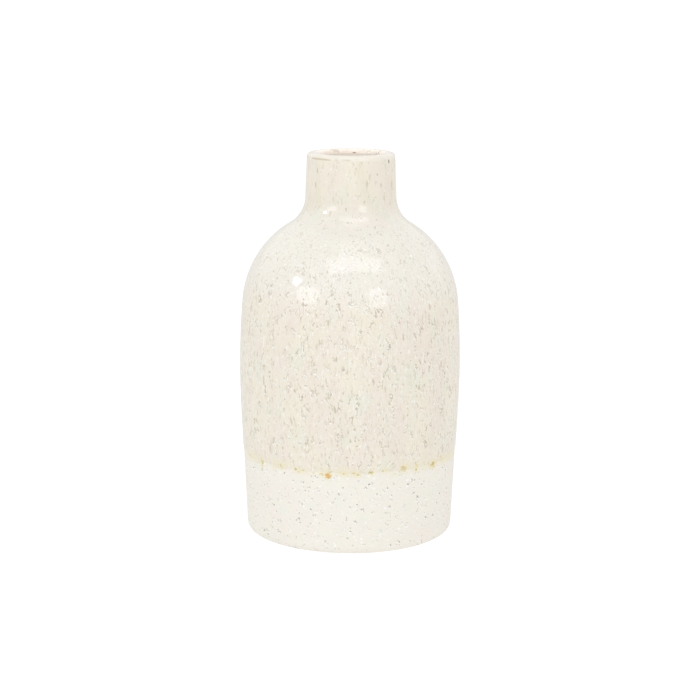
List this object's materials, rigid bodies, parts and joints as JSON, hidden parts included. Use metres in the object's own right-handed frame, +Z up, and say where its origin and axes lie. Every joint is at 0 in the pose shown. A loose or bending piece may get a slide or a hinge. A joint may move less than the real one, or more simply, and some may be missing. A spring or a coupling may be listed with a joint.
{
  "type": "bottle vase",
  "caption": "Round-shouldered bottle vase with a short narrow neck, glossy mottled glaze down to a level amber line, and a bare speckled clay base.",
  "frame": {"origin": "centre of the foot ring, on the surface that the vase stands on", "axes": "+Z up the axis on which the vase was turned; X and Y level, with the pictured side towards -Y"},
  "size_m": [0.09, 0.09, 0.155],
  "materials": {
    "bare_clay": "matt off-white stoneware with small grey-brown iron specks",
    "outer_glaze": "glossy cream glaze, mottled peach and grey-green, with short brown streaks running down",
    "amber_edge": "glossy creamy-yellow glaze edge with amber spots",
    "liner_glaze": "glossy warm beige glaze"
  },
  "bodies": {
    "root": {"clay_body": "bare_clay", "outer_glaze": "outer_glaze", "glaze_edge": "amber_edge", "liner_glaze": "liner_glaze"}
  },
  "joints": []
}
